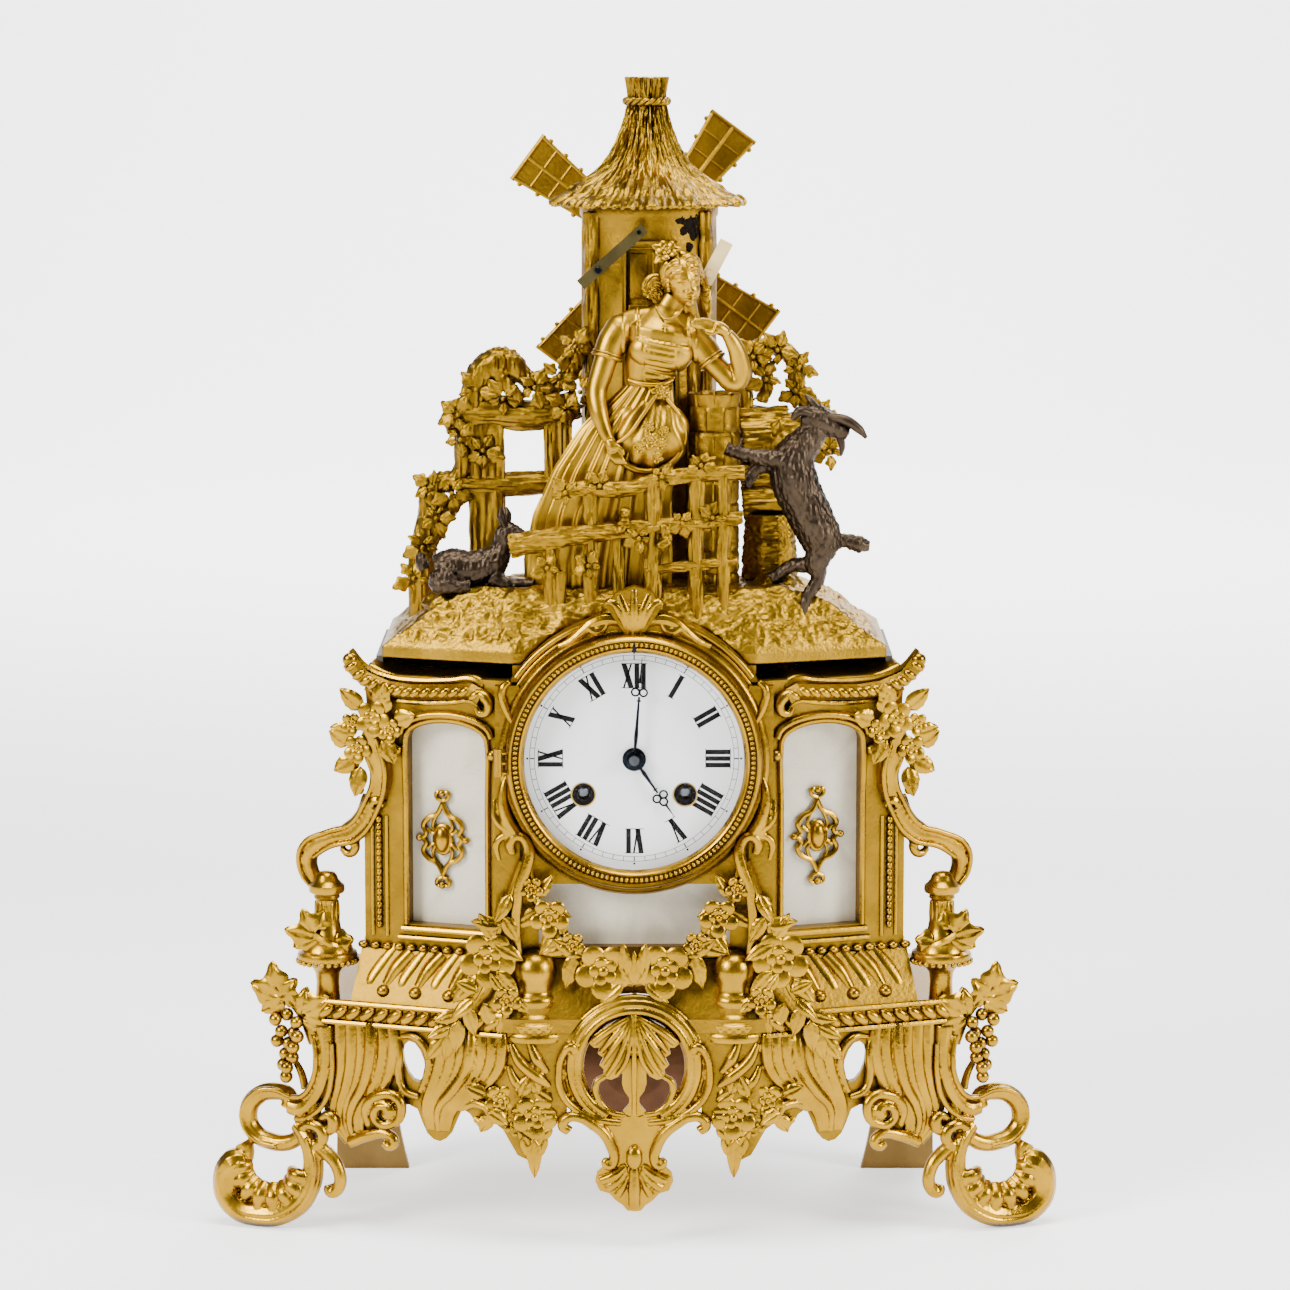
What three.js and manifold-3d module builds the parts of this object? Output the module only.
// Gilt-bronze table clock with a windmill group, a glazed dial and a drum movement.
// Millimetres, +Z up, front towards -Y, origin under the middle of the base.

import * as THREE from 'three';
import { mergeVertices } from 'three/addons/utils/BufferGeometryUtils.js';
import Module from 'manifold-3d';

const wasm = await Module();
wasm.setup();

// Overall plan: a flat middle with two wings that fall back
const HALF_DEPTH = 72;
const CENTRE_HALF = 53;
const CANT = THREE.MathUtils.degToRad(20);
const CLEARANCE = 0.3;

// Base
const CARTOUCHE_RELIEF = 4;
const BASE_FRONT = CARTOUCHE_RELIEF - HALF_DEPTH;
const BASE_HALF_WIDTH = 138;
const BASE_WALL = 5;
const APRON_BOTTOM = 36;
const SIDE_BOTTOM = 46;
const APRON_TOP = 97;
const BORDER_HEIGHT = 6;
const BORDER_RELIEF = 1.5;
const SHOULDER_HEIGHT = 24;
const SHOULDER_HALF_WIDTH = BASE_HALF_WIDTH - 12;
const DECK_THICKNESS = 4;
const BORDER_TOP = APRON_TOP + BORDER_HEIGHT;
const BASE_TOP = BORDER_TOP + SHOULDER_HEIGHT;
const FOOT_PLATE = 5;
const BASE_BACK = HALF_DEPTH - FOOT_PLATE - CLEARANCE;
const PLINTH_X = 43.5;
const PLINTH_RADIUS = 17;
const PLINTH_SETBACK = 14;
const CARTOUCHE_Z = APRON_TOP - 15;
const CARTOUCHE_RADIUS = 31;
const CARTOUCHE_OPENING = 23;
const CARTOUCHE_THICKNESS = 7;
const PEDESTAL_X = BASE_HALF_WIDTH - 1.5;
const PEDESTAL_SETBACK = 9;

// Case
const CASE_SETBACK = 14;
const CASE_FRONT = BASE_FRONT + CASE_SETBACK;
const CASE_HEIGHT = 130;
const CASE_TOP = BASE_TOP + CASE_HEIGHT;
const CASE_HALF_WIDTH = BASE_HALF_WIDTH - 24;
const CASE_BACK = HALF_DEPTH - 14;
const CASE_WALL = 3;
const CASE_LEDGE = 1.5;
const FRAME_OUTER_X = CASE_HALF_WIDTH + 5.5;
const FRAME_INNER_X = CENTRE_HALF + 2.4;
const FRAME_THICKNESS = 7;
const FRAME_DROP = 7;
const PANEL_THICKNESS = 4;
const PANEL_LAP = 4;
const WINDOW_INNER_X = CENTRE_HALF + 11;
const WINDOW_OUTER_X = CASE_HALF_WIDTH - 13.5;
const WINDOW_SILL = 12;
const WINDOW_SPRING = 95;
const WINDOW_ARCH = 9;
const SURROUND_THICKNESS = 6;

// Dial, bezel and hands
const DIAL_RISE = 89.4;
const DIAL_Z = BASE_TOP + DIAL_RISE;
const DIAL_RADIUS = 49.5;
const DIAL_THICKNESS = 2;
const DIAL_PROUD = 2;
const DIAL_FACE = CASE_FRONT - DIAL_PROUD;
const RING_RADIUS = 59;
const RING_PROUD = 7;
const RING_FRONT = CASE_FRONT - RING_PROUD;
const ARCH_RADIUS = 64;
const BEZEL_RADIUS = 56;
const BEZEL_SIGHT = 47.8;
const BEZEL_DEPTH = 9;
const BEZEL_REBATE = 3;
const GLASS_THICKNESS = 1.5;
const GLASS_RISE = 3;
const HINGE_X = 59;
const KNUCKLE_RADIUS = 1.8;
const KNUCKLE_LENGTH = 12;
const HAND_THICKNESS = 0.8;
const MINUTE_HAND_LENGTH = 45.4;
const HOUR_HAND_LENGTH = 31;
const MINUTE_HAND_ANGLE = THREE.MathUtils.degToRad(4.4);
const HOUR_HAND_ANGLE = THREE.MathUtils.degToRad(145.5);
const WINDING_X = 22.2;
const WINDING_DROP = 16;
const WINDING_HOLE = 5.2;
const WINDING_SQUARE = 3.3;

// Movement
const PLATE_RADIUS = 52;
const PLATE_THICKNESS = 2.5;
const PLATE_GAP = 35;
const BACK_PLATE_RADIUS = 41;
const PILLAR_CIRCLE = 37;
const PILLAR_RADIUS = 2.5;
const BARREL_RADIUS = 15.5;
const BARREL_LENGTH = 24;
const ARBOR_RADIUS = 2.4;
const GEAR_MODULE = 0.75;
const GEAR_WIDTH = 1.6;
const CANNON_TEETH = 10;
const MINUTE_TEETH = 30;
const MINUTE_PINION_TEETH = 8;
const HOUR_TEETH = 32;
const CANNON_RADIUS = 2.5;
const HOUR_PIPE_WALL = 0.9;
const ESCAPE_RISE = 24;
const ESCAPE_RADIUS = 9;
const ESCAPE_TEETH = 24;
const ANCHOR_RISE = 37.6;
const PENDULUM_GAP = 9.5;
const PENDULUM_LENGTH = 188;
const ROD_RADIUS = 1.2;
const BOB_RADIUS = 24;
const BOB_THICKNESS = 8;
const BELL_X = 14;
const BELL_DROP = 26;
const BELL_RADIUS = 28;
const BELL_DEPTH = 20;
const BELL_WALL = 1.8;
const BELL_GAP = 15.5;
const HAMMER_X = 24;
const HAMMER_RISE = 12;
const HAMMER_HEAD = 3.6;
const HAMMER_REST_GAP = 0.6;
const DOOR_RADIUS = 40;
const DOOR_HOLE = 37;
const DOOR_THICKNESS = 2.5;
const DOOR_HINGE_X = 43;

// Terrace and the group on it
const TERRACE_SETBACK = 2;
const TERRACE_HALF_WIDTH = CASE_HALF_WIDTH - 3;
const TERRACE_HEIGHT = 32;
const TERRACE_BACK = CASE_BACK - 2;
const TERRACE_WALL = 4;
const TERRACE_FRONT = CASE_FRONT + TERRACE_SETBACK;
const TERRACE_BOTTOM = CASE_TOP + CLEARANCE;
const TERRACE_TOP = TERRACE_BOTTOM + TERRACE_HEIGHT;
const MILL_X = 6.5;
const TOWER_RADIUS = 30;
const TOWER_WALL = 3;
const TOWER_HEIGHT = 163;
const TOWER_TOP = TERRACE_TOP + TOWER_HEIGHT;
const EAVE_RADIUS = 43;
const ROOF_HEIGHT = 58;
const SAIL_AXIS_DROP = 19.6;
const SAIL_OFFSET = 1.5;
const SAIL_Z = TOWER_TOP - SAIL_AXIS_DROP;
const SAIL_LENGTH = 67.5;
const SAIL_ROOT = 30;
const SAIL_TIP_WIDTH = 23;
const SAIL_ROOT_WIDTH = 14;
const SAIL_THICKNESS = 3;
const SAIL_ANGLE = THREE.MathUtils.degToRad(53.4);
const SAIL_GAP = 1.2;
const AXLE_RADIUS = 3;
const HUB_RADIUS = 6;
const FIGURE_Y = TERRACE_FRONT + 25;
const MILL_Y = FIGURE_Y + 45;
const FENCE_Y = TERRACE_FRONT + 8;
const TUB_X = 35;
const TUB_Y = FIGURE_Y + 6;
const TUB_RADIUS = 11.5;
const TUB_HEIGHT = 84;

// Places that follow from the driving dimensions
const DIAL_BACK = DIAL_FACE + DIAL_THICKNESS;
const SURROUND_BACK = CASE_FRONT + SURROUND_THICKNESS;
const BEZEL_BACK = RING_FRONT - CLEARANCE;
const BEZEL_FRONT = BEZEL_BACK - BEZEL_DEPTH;
const HINGE_Y = BEZEL_BACK - 6;
const PLATE_FRONT = SURROUND_BACK + CLEARANCE;
const PLATE_BACK = PLATE_FRONT + PLATE_THICKNESS;
const BACK_PLATE_FRONT = PLATE_BACK + PLATE_GAP;
const BACK_PLATE_BACK = BACK_PLATE_FRONT + PLATE_THICKNESS;
const WINDING_Z = DIAL_Z - WINDING_DROP;
const ESCAPE_Z = DIAL_Z + ESCAPE_RISE;
const ANCHOR_Z = DIAL_Z + ANCHOR_RISE;
const PENDULUM_Y = BACK_PLATE_BACK + PENDULUM_GAP;
const BOB_Z = ANCHOR_Z - PENDULUM_LENGTH;
const BELL_Z = DIAL_Z - BELL_DROP;
const BELL_FRONT = BACK_PLATE_BACK + BELL_GAP;
const HAMMER_Z = DIAL_Z + HAMMER_RISE;
const TRAIN_Y = BACK_PLATE_FRONT - 12;
const GEAR_CENTRES = GEAR_MODULE * (CANNON_TEETH + MINUTE_TEETH) / 2;
const REAR_LAYER = PLATE_FRONT - 1 - GEAR_WIDTH;
const FRONT_LAYER = REAR_LAYER - 0.7 - GEAR_WIDTH;
const HOUR_PIPE_BORE = CANNON_RADIUS + CLEARANCE;
const HOUR_PIPE_RADIUS = HOUR_PIPE_BORE + HOUR_PIPE_WALL;
const HOUR_HAND_BACK = DIAL_FACE - 1.8;
const MINUTE_HAND_BACK = HOUR_HAND_BACK - 2.4;
const TOWER_REAR = MILL_Y + TOWER_RADIUS;
const SAIL_X = MILL_X - SAIL_OFFSET;
const SAIL_Y = MILL_Y + EAVE_RADIUS + SAIL_GAP;
const THROUGH = 400;

// Finishes
const finish = (color, roughness, metalness) => ({ color, roughness, metalness });
const GILT = finish(0xc99a3c, 0.32, 1);
const GILT_MATT = finish(0xb58a38, 0.5, 1);
const DULL_BRONZE = finish(0x9a7b45, 0.6, 1);
const DARK_BRONZE = finish(0x3a342e, 0.5, 0.9);
const OLIVE_METAL = finish(0x4a4a32, 0.55, 0.8);
const PALE_BRASS = finish(0xe8d9a8, 0.25, 1);
const BRASS = finish(0xbfa055, 0.35, 1);
const STEEL = finish(0x5c6068, 0.3, 1);
const BLUED_STEEL = finish(0x15181f, 0.35, 0.8);
const SHEET_METAL = finish(0x8d8f8c, 0.5, 0.9);
const MARBLE = finish(0xd9d5cc, 0.35, 0);
const ENAMEL = finish(0xe6e8e8, 0.15, 0);
const GLASS = finish(0xf4f8f8, 0.05, 0);
const BOB_BRONZE = finish(0x4a3325, 0.5, 0.8);

const clock = new THREE.Group();

// Closed solids

function solidOf(geometry) {
  const bare = geometry.index ? geometry.toNonIndexed() : geometry.clone();
  bare.deleteAttribute('normal');
  bare.deleteAttribute('uv');
  const merged = mergeVertices(bare, 1e-4);
  const corners = merged.index.array;
  const kept = [];
  for (let i = 0; i < corners.length; i += 3) {
    const [a, b, c] = [corners[i], corners[i + 1], corners[i + 2]];
    if (a !== b && b !== c && a !== c) kept.push(a, b, c);
  }
  const vertProperties = Float32Array.from(merged.attributes.position.array);
  const build = (triVerts) => new wasm.Manifold(new wasm.Mesh({ numProp: 3, vertProperties, triVerts }));
  const solid = build(Uint32Array.from(kept));
  return solid.volume() > 0 ? solid : build(Uint32Array.from(kept).reverse());
}

const fused = (...solids) => solids.flat().reduce((whole, next) => whole.add(next));
const cut = (solid, ...tools) => tools.flat().reduce((whole, next) => whole.subtract(next), solid);

function piece(name, solid, look, parent = clock) {
  const { vertProperties, triVerts } = solid.getMesh();
  const geometry = new THREE.BufferGeometry();
  geometry.setAttribute('position', new THREE.BufferAttribute(Float32Array.from(vertProperties), 3));
  geometry.setIndex(new THREE.BufferAttribute(Uint32Array.from(triVerts), 1));
  geometry.computeVertexNormals();
  const mesh = new THREE.Mesh(geometry, new THREE.MeshStandardMaterial(look));
  mesh.name = name;
  parent.add(mesh);
  return mesh;
}

// Box between two corners
function box(x0, x1, y0, y1, z0, z1) {
  const geometry = new THREE.BoxGeometry(x1 - x0, y1 - y0, z1 - z0);
  return solidOf(geometry.translate((x0 + x1) / 2, (y0 + y1) / 2, (z0 + z1) / 2));
}

// Round rod along Y
function rodY(x, z, radius, y0, y1, sides = 16) {
  const geometry = new THREE.CylinderGeometry(radius, radius, y1 - y0, sides);
  return solidOf(geometry.translate(x, (y0 + y1) / 2, z));
}

// Round rod along Z
function rodZ(x, y, radius, z0, z1, sides = 12) {
  const geometry = new THREE.CylinderGeometry(radius, radius, z1 - z0, sides).rotateX(Math.PI / 2);
  return solidOf(geometry.translate(x, y, (z0 + z1) / 2));
}

// Turned about an axis along Y through (x, z); profile of [radius, y]
function turnedY(profile, x, z, sides = 32) {
  const points = profile.map(([radius, y]) => new THREE.Vector2(radius, y));
  return solidOf(new THREE.LatheGeometry(points, sides).translate(x, 0, z));
}

// Turned about an axis along Z through (x, y); profile of [radius, z]
function turnedZ(profile, x, y, sides = 16) {
  const points = profile.map(([radius, z]) => new THREE.Vector2(radius, z));
  return solidOf(new THREE.LatheGeometry(points, sides).rotateX(Math.PI / 2).translate(x, y, 0));
}

// Rounded lump
function lump(x, y, z, rx, ry = rx, rz = rx, sides = 6) {
  const geometry = new THREE.SphereGeometry(1, sides, Math.max(4, sides - 2));
  return solidOf(geometry.scale(rx, ry, rz).translate(x, y, z));
}

// Upright plate with a front outline in X and Z
function plate(shape, front, back, segments = 6) {
  const drawn = shape instanceof THREE.Shape;
  const outline = drawn ? shape : new THREE.Shape(shape.map((p) => new THREE.Vector2(...p)));
  const geometry = new THREE.ExtrudeGeometry(outline, { depth: back - front, bevelEnabled: false,
    curveSegments: segments });
  return solidOf(geometry.rotateX(Math.PI / 2).translate(0, back, 0));
}

// Skin over a stack of rings with equal point counts, closed by a fan at each end
function loft(rings) {
  const count = rings[0].length;
  const points = rings.flat();
  const middle = (ring) => ring.reduce((sum, p) => sum.add(p), new THREE.Vector3()).divideScalar(count);
  const index = [];
  for (let r = 0; r + 1 < rings.length; r += 1) {
    for (let i = 0; i < count; i += 1) {
      const j = (i + 1) % count;
      const [a, b] = [r * count + i, r * count + j];
      index.push(a, b, b + count, a, b + count, a + count);
    }
  }
  const first = points.length;
  const lastRow = (rings.length - 1) * count;
  for (let i = 0; i < count; i += 1) {
    const j = (i + 1) % count;
    index.push(first, j, i, first + 1, lastRow + i, lastRow + j);
  }
  points.push(middle(rings[0]), middle(rings[rings.length - 1]));
  const geometry = new THREE.BufferGeometry().setFromPoints(points);
  geometry.setIndex(index);
  return solidOf(geometry);
}

const FRONT_TO_BACK = new THREE.Vector3(0, 1, 0);

// Tapered bar through points, with one radius for each; depth is its thickness front to back over its width
function bar(points, radii, { sides = 6, steps = 1, depth = 1 } = {}) {
  const path = new THREE.CatmullRomCurve3(points.map((p) => new THREE.Vector3(...p)));
  const count = (points.length - 1) * steps;
  const rings = [];
  for (let i = 0; i <= count; i += 1) {
    const t = i / count;
    const centre = path.getPoint(t);
    const along = path.getTangent(t);
    const across = new THREE.Vector3().crossVectors(along, FRONT_TO_BACK).normalize();
    const through = new THREE.Vector3().crossVectors(across, along).normalize();
    const place = t * (radii.length - 1);
    const low = Math.min(Math.floor(place), radii.length - 2);
    const radius = THREE.MathUtils.lerp(radii[low], radii[low + 1], place - low);
    const ring = [];
    for (let k = 0; k < sides; k += 1) {
      const angle = 2 * Math.PI * k / sides;
      const point = centre.clone().addScaledVector(across, radius * Math.cos(angle));
      ring.push(point.addScaledVector(through, radius * depth * Math.sin(angle)));
    }
    rings.push(ring);
  }
  return loft(rings);
}

// Leaf-shaped plate from its stalk at (x, z), pointing along angle
function leaf(x, z, angle, length, width, front, back) {
  const outline = [[0, -0.08], [0.3, -0.5], [0.65, -0.42], [1, 0], [0.65, 0.42], [0.3, 0.5], [0, 0.08]];
  const turn = (along, across) => [
    x + along * length * Math.cos(angle) - across * width * Math.sin(angle),
    z + along * length * Math.sin(angle) + across * width * Math.cos(angle),
  ];
  return plate(outline.map(([along, across]) => turn(along, across)), front, back);
}

// Elliptical ring of points at one height
function ovalRing(x, y, z, rx, ry, sides) {
  const ring = [];
  for (let i = 0; i < sides; i += 1) {
    const angle = 2 * Math.PI * i / sides;
    ring.push(new THREE.Vector3(x + rx * Math.cos(angle), y + ry * Math.sin(angle), z));
  }
  return ring;
}

// Spur wheel along Y, with a tooth centred at the phase angle
function wheel(x, z, teeth, module, front, back, phase, bore) {
  const pitchRadius = module * teeth / 2;
  const tip = pitchRadius + 0.7 * module;
  const root = pitchRadius - 1.1 * module;
  const pitch = 2 * Math.PI / teeth;
  const flank = [[root, -0.26], [tip, 0], [root, 0.26]];
  const outline = [];
  for (let i = 0; i < teeth; i += 1) {
    for (const [radius, share] of flank) {
      const angle = phase + (i + share) * pitch;
      outline.push([x + radius * Math.cos(angle), z + radius * Math.sin(angle)]);
    }
  }
  return cut(plate(outline, front, back), rodY(x, z, bore, front - 1, back + 1));
}

// Plan of the canted front with straight sides, set in by an inset
function plan(front, halfWidth, back, z, inset = 0) {
  const slope = Math.tan(CANT);
  const bend = CENTRE_HALF - inset * (1 / Math.cos(CANT) - 1) / slope;
  const side = halfWidth - inset;
  const corner = front + (side - CENTRE_HALF) * slope + inset / Math.cos(CANT);
  const points = [[-side, back], [-side, corner], [-bend, front + inset]];
  points.push([bend, front + inset], [side, corner], [side, back]);
  return points.map(([x, y]) => new THREE.Vector3(x, y, z));
}

// Length along a wing for a distance from the middle in the front view
const alongWing = (x) => (x - CENTRE_HALF) / Math.cos(CANT);

// Group whose X axis runs along a wing's front face
function wingGroup(side, front) {
  const group = new THREE.Group();
  group.position.set(side * CENTRE_HALF, front, 0);
  group.rotation.z = side * CANT;
  clock.add(group);
  return group;
}

// Front-view points of a wing, mirrored for its side: [x, y behind the face, z]
const wingPoints = (side, points) => points.map(([x, y, z]) => [side * alongWing(x), y, z]);

// Front-view outline of a wing, kept in the same winding on both sides
function wingOutline(side, points) {
  const outline = points.map(([x, z]) => [side * alongWing(x), z]);
  return side < 0 ? outline.reverse() : outline;
}

const SIDES = { left: -1, right: 1 };

// Base: one hollow casting with apron, gadroon border, sloped shoulders and deck, open at the back
function baseCasting() {
  const outer = (z, inset = 0) => plan(BASE_FRONT, BASE_HALF_WIDTH, BASE_BACK, z, inset);
  const border = (z) => plan(BASE_FRONT - BORDER_RELIEF, BASE_HALF_WIDTH + BORDER_RELIEF, BASE_BACK, z);
  const shoulderFoot = plan(BASE_FRONT + 1, SHOULDER_HALF_WIDTH, BASE_BACK, BORDER_TOP);
  const seat = plan(CASE_FRONT - CASE_LEDGE, FRAME_OUTER_X + CASE_LEDGE, BASE_BACK, BASE_TOP);
  let casting = fused(
    loft([outer(APRON_BOTTOM), outer(APRON_TOP)]),
    loft([border(APRON_TOP), border(BORDER_TOP)]),
    loft([shoulderFoot, seat]),
  );
  for (const side of [-1, 1]) {
    const x = side * PLINTH_X;
    const y = BASE_FRONT + PLINTH_SETBACK;
    casting = fused(casting, rodZ(x, y, PLINTH_RADIUS, APRON_TOP - 4, BORDER_TOP - 2, 20));
    casting = fused(casting, rodZ(x, y - 5, 9, BORDER_TOP - 2, BORDER_TOP + 9, 16));
    casting = fused(casting, rodZ(x, y - 4, 6, BORDER_TOP + 9, BASE_TOP, 12));
  }
  const open = BASE_BACK + 10;
  const inner = (z, inset) => plan(BASE_FRONT, BASE_HALF_WIDTH, open, z, inset);
  const apronSpace = loft([inner(APRON_BOTTOM - 1, BASE_WALL), inner(APRON_TOP, BASE_WALL)]);
  const shoulderLow = plan(BASE_FRONT, SHOULDER_HALF_WIDTH, open, APRON_TOP - 1, BASE_WALL);
  const seatLow = plan(CASE_FRONT, FRAME_OUTER_X, open, BASE_TOP - DECK_THICKNESS, BASE_WALL);
  const shoulderSpace = loft([shoulderLow, seatLow]);
  return cut(casting, apronSpace, shoulderSpace, apronCuts(), pendulumSlot());
}

// What the apron's lower edge, slits and cartouche leave open
function apronCuts() {
  const edge = [
    [0.92, 9], [0.855, 6], [0.783, 21], [0.703, 24], [0.667, 13], [0.623, 9], [0.58, 14], [0.543, 25],
    [0.486, 16], [0.435, 20], [0.34, 2], [0.261, 20], [0.21, 21],
  ].map(([share, rise]) => [share * BASE_HALF_WIDTH, APRON_BOTTOM + rise]);
  const tools = [];
  for (const side of [-1, 1]) {
    const shape = new THREE.Shape();
    shape.moveTo(side * (CARTOUCHE_RADIUS - 2), APRON_BOTTOM - 2);
    shape.lineTo(side * (BASE_HALF_WIDTH + 1), APRON_BOTTOM - 2);
    shape.lineTo(side * (BASE_HALF_WIDTH + 1), SIDE_BOTTOM);
    shape.splineThru(edge.map(([x, z]) => new THREE.Vector2(side * x, z)));
    const front = BASE_FRONT - BORDER_RELIEF - 1;
    const sideFront = BASE_FRONT + (BASE_HALF_WIDTH - CENTRE_HALF) * Math.tan(CANT);
    tools.push(plate(shape, front, sideFront + 10, 2));
    const x = side * (BASE_HALF_WIDTH - BASE_WALL - 1);
    const wall = [x, side * (BASE_HALF_WIDTH + 1)].sort((a, b) => a - b);
    tools.push(box(...wall, sideFront, BASE_BACK + 1, APRON_BOTTOM - 1, SIDE_BOTTOM));
    const slit = new THREE.Shape().absellipse(
      side * 0.703 * BASE_HALF_WIDTH, APRON_TOP - 17, 4.5, 9.5, 0, 2 * Math.PI, false, -side * 0.25,
    );
    tools.push(plate(slit, front, sideFront + 10));
  }
  const cartoucheBack = BASE_FRONT + BASE_WALL + 12;
  tools.push(rodY(0, CARTOUCHE_Z, CARTOUCHE_RADIUS + CLEARANCE, -HALF_DEPTH - 1, cartoucheBack, 36));
  const half = CARTOUCHE_RADIUS - 1.5;
  tools.push(box(-half, half, -HALF_DEPTH - 1, cartoucheBack, APRON_BOTTOM - 1, CARTOUCHE_Z));
  return tools;
}

// Slot in the deck for the swinging rod
function pendulumSlot() {
  const swing = 14;
  return box(-swing, swing, PENDULUM_Y - 7, PENDULUM_Y + 7, BASE_TOP - DECK_THICKNESS - 1, BASE_TOP + 1);
}

piece('base_casting', baseCasting(), GILT);

// Scroll foot with its ring, shell, band and grape spray, in the plane of the base wing
function scrollFoot(side) {
  const beyond = (points) => wingPoints(side, points.map(([x, ...rest]) => [BASE_HALF_WIDTH + x, ...rest]));
  const scroll = beyond([
    [39, -5, 30], [45, -5, 19], [41, -5, 8], [28, -5, 3.5], [13, -5, 6], [6, -5, 16], [3.5, -4, 30],
    [7, -2, 42], [14, -1, 47],
  ]);
  const ring = beyond([
    [14, -1, 46], [25, -1, 39], [35, -1, 43], [37, -1, 52], [32, 0, 61], [21, 1, 63.5], [13, 2, 58],
    [5.5, 3, 64], [5, 4, 76], [5.5, 4, 90],
  ]);
  const vine = beyond([[5.5, 4, 88], [11, 1, 98], [18, 1, 104]]);
  const shell = wingOutline(side, [
    [42, 18], [37, 26], [25, 21], [16, 25], [6, 34], [8, 18], [20, 6], [35, 8],
  ].map(([x, z]) => [BASE_HALF_WIDTH + x, z]));
  const parts = [
    bar(scroll, [7, 5.5, 5, 5, 5, 4.5, 4.5, 4.5, 4]),
    bar(ring, [4, 4, 4, 4, 4, 4, 4, 3.6, 3.4, 3.4]),
    bar(vine, [3, 2.6, 2.2]),
    plate(shell, -6, -2),
    lump(side * alongWing(BASE_HALF_WIDTH + 37), -2.5, 37, 4.5),
    bar(beyond([[6, -3, 40], [-2, -4, 31], [-6, -4, 20]]), [4, 4, 4.5]),
  ];
  for (const [x, z, angle, length] of [[16, 103, 3.3, 15], [11, 101, 1.6, 15], [16, 104, 2.1, 14]]) {
    const turn = side > 0 ? Math.PI - angle : angle;
    parts.push(leaf(side * alongWing(BASE_HALF_WIDTH + x), z, turn, length, 14, -2, 1.5));
  }
  for (const [x, z] of [[16, 97], [12, 92], [18, 90], [14, 85], [17, 81], [14, 76], [16, 71]]) {
    parts.push(lump(side * alongWing(BASE_HALF_WIDTH + x), 0.5, z, 4.4, 4, 4.2, 6));
  }
  const floor = box(-THROUGH, THROUGH, -THROUGH, THROUGH, -THROUGH, 0);
  return cut(fused(parts), floor);
}

// Rear foot: a flat plate on the end of the base's side wall
function rearFoot(side) {
  const shape = new THREE.Shape();
  const outer = BASE_HALF_WIDTH;
  shape.moveTo(side * (outer + 2), 0);
  shape.lineTo(side * (outer - 32), 0);
  shape.quadraticCurveTo(side * (outer - 26), 22, side * (outer - 24), 52);
  shape.lineTo(side * (outer - 10), APRON_TOP - 10);
  shape.lineTo(side * outer, APRON_TOP - 10);
  return plate(shape, HALF_DEPTH - FOOT_PLATE, HALF_DEPTH);
}

// Turned pedestal with a vine, standing on the end of the border
function pedestal(side) {
  const x = side * PEDESTAL_X;
  const y = BASE_FRONT + (PEDESTAL_X - CENTRE_HALF) * Math.tan(CANT) + PEDESTAL_SETBACK;
  const foot = BORDER_TOP + CLEARANCE;
  const profile = [
    [0, 0], [5.5, 0], [5, 8], [6.5, 14], [13.5, 19], [13.5, 23], [9, 27], [6, 33], [4.6, 44], [5.5, 47],
    [8, 48.5], [8, 52], [5, 55], [4, 57.5], [0, 58],
  ].map(([radius, z]) => [radius, foot + z]);
  const vine = [];
  for (let i = 0; i <= 5; i += 1) {
    const angle = side * (i / 5) * 1.2 * Math.PI - Math.PI / 2;
    vine.push([x + 6.5 * Math.cos(angle), y + 6.5 * Math.sin(angle), foot + 25 + i * 3.6]);
  }
  const outward = side > 0 ? 0.5 : Math.PI - 0.5;
  return fused(
    turnedZ(profile, x, y, 12),
    bar(vine, [2.2, 1.6], { sides: 5 }),
    leaf(x + side * 3, foot + 28, outward, 14, 12, y - 8, y - 4.5),
  );
}

for (const [label, side] of Object.entries(SIDES)) {
  const wing = wingGroup(side, BASE_FRONT);
  piece('scroll_foot_' + label, scrollFoot(side), GILT, wing);
  piece('rear_foot_' + label, rearFoot(side), DULL_BRONZE);
  piece('pedestal_' + label, pedestal(side), GILT);
}

// Cartouche: pierced ring set into the apron, with a hanging leaf and a shell pendant
function cartouche() {
  const back = -HALF_DEPTH + CARTOUCHE_THICKNESS;
  const raised = (points) => points.map(([x, z]) => [x, CARTOUCHE_Z + z]);
  const ring = cut(
    rodY(0, CARTOUCHE_Z, CARTOUCHE_RADIUS, -HALF_DEPTH, back, 36),
    rodY(0, CARTOUCHE_Z, CARTOUCHE_OPENING, -HALF_DEPTH - 1, back + 1, 32),
  );
  const parts = [
    ring,
    plate(raised([[-5, CARTOUCHE_OPENING + 2], [-19, 10], [-15, -2], [-7, -4], [-4, -16], [-6, -26],
      [6, -26], [4, -16], [7, -4], [15, -2],
      [19, 10], [5, CARTOUCHE_OPENING + 2]]), -HALF_DEPTH + 1, back - 2),
    plate(raised([[-14, -28], [-9, -36], [-8, -45], [-16, -51], [-15, -58], [-7, -62], [0, -65],
      [7, -62], [15, -58], [16, -51],
      [8, -45], [9, -36], [14, -28]]), -HALF_DEPTH + 1, back),
    lump(0, -HALF_DEPTH + 3, CARTOUCHE_Z - 37, 4, 2.5, 6),
  ];
  for (const side of [-1, 1]) {
    parts.push(rodY(side * 24, CARTOUCHE_Z - 26, 5, -HALF_DEPTH + 1, back, 12));
  }
  return fused(parts);
}

piece('cartouche', cartouche(), GILT);

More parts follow.
